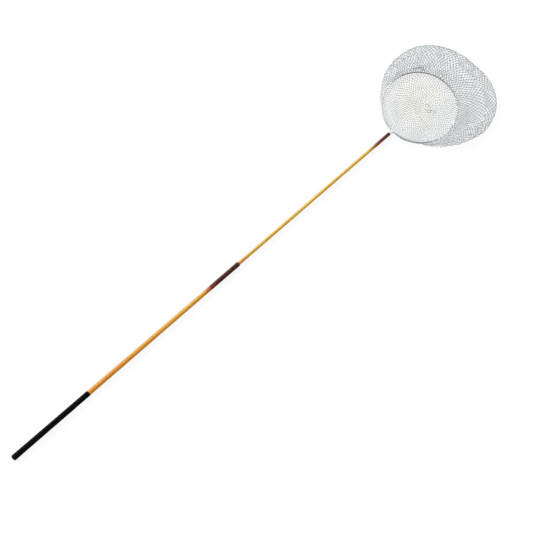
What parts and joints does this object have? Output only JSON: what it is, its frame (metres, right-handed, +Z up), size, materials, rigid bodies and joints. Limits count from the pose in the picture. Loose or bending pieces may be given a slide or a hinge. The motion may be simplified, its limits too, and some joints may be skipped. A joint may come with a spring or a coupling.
{
  "type": "telescopic shrimp net",
  "caption": "Slim telescopic hand net laid flat: a tapered lacquered pole with a sliding upper section, a round wire hoop and a soft fine-mesh bag.",
  "frame": {"origin": "centre of the butt cap's flat end face, on the pole's axis", "axes": "+X along the pole from the butt to the hoop, +Z up, square to the hoop's plane, +Y to the left when looking along the pole"},
  "size_m": [1.4652, 0.2606, 0.0237],
  "materials": {
    "amber_lacquer": "clear amber lacquer over wound fibre, glossy",
    "gold_lacquer": "pale golden lacquer over wound fibre, glossy",
    "brown_lacquer": "thread wrap under dark red-brown lacquer, glossy",
    "grip_sleeve": "black shrink sleeve, satin",
    "cap_rubber": "moulded black rubber, matt",
    "dowel_wood": "plain slotted dowel, glued",
    "hoop_steel": "drawn stainless wire, bright",
    "net_nylon": "knotted translucent nylon netting",
    "tie_cord": "white nylon cord"
  },
  "bodies": {
    "butt_section": {"butt_tube": "amber_lacquer", "grip_sleeve": "grip_sleeve", "mouth_wrap": "brown_lacquer"},
    "butt_cap": {"butt_cap": "cap_rubber"},
    "tip_section": {"tip_tube": "gold_lacquer", "tip_wrap": "brown_lacquer", "neck_dowel": "dowel_wood", "hoop_wire": "hoop_steel", "net_bag": "net_nylon", "bag_tie": "tie_cord"}
  },
  "joints": [
    {"name": "tip_slide", "type": "slide", "parent": "butt_section", "child": "tip_section", "axis": [-1, 0, 0], "range_m": [0, 0.48]},
    {"name": "cap_pull", "type": "slide", "parent": "butt_section", "child": "butt_cap", "axis": [-1, 0, 0], "range_m": [0, 0.04]}
  ]
}
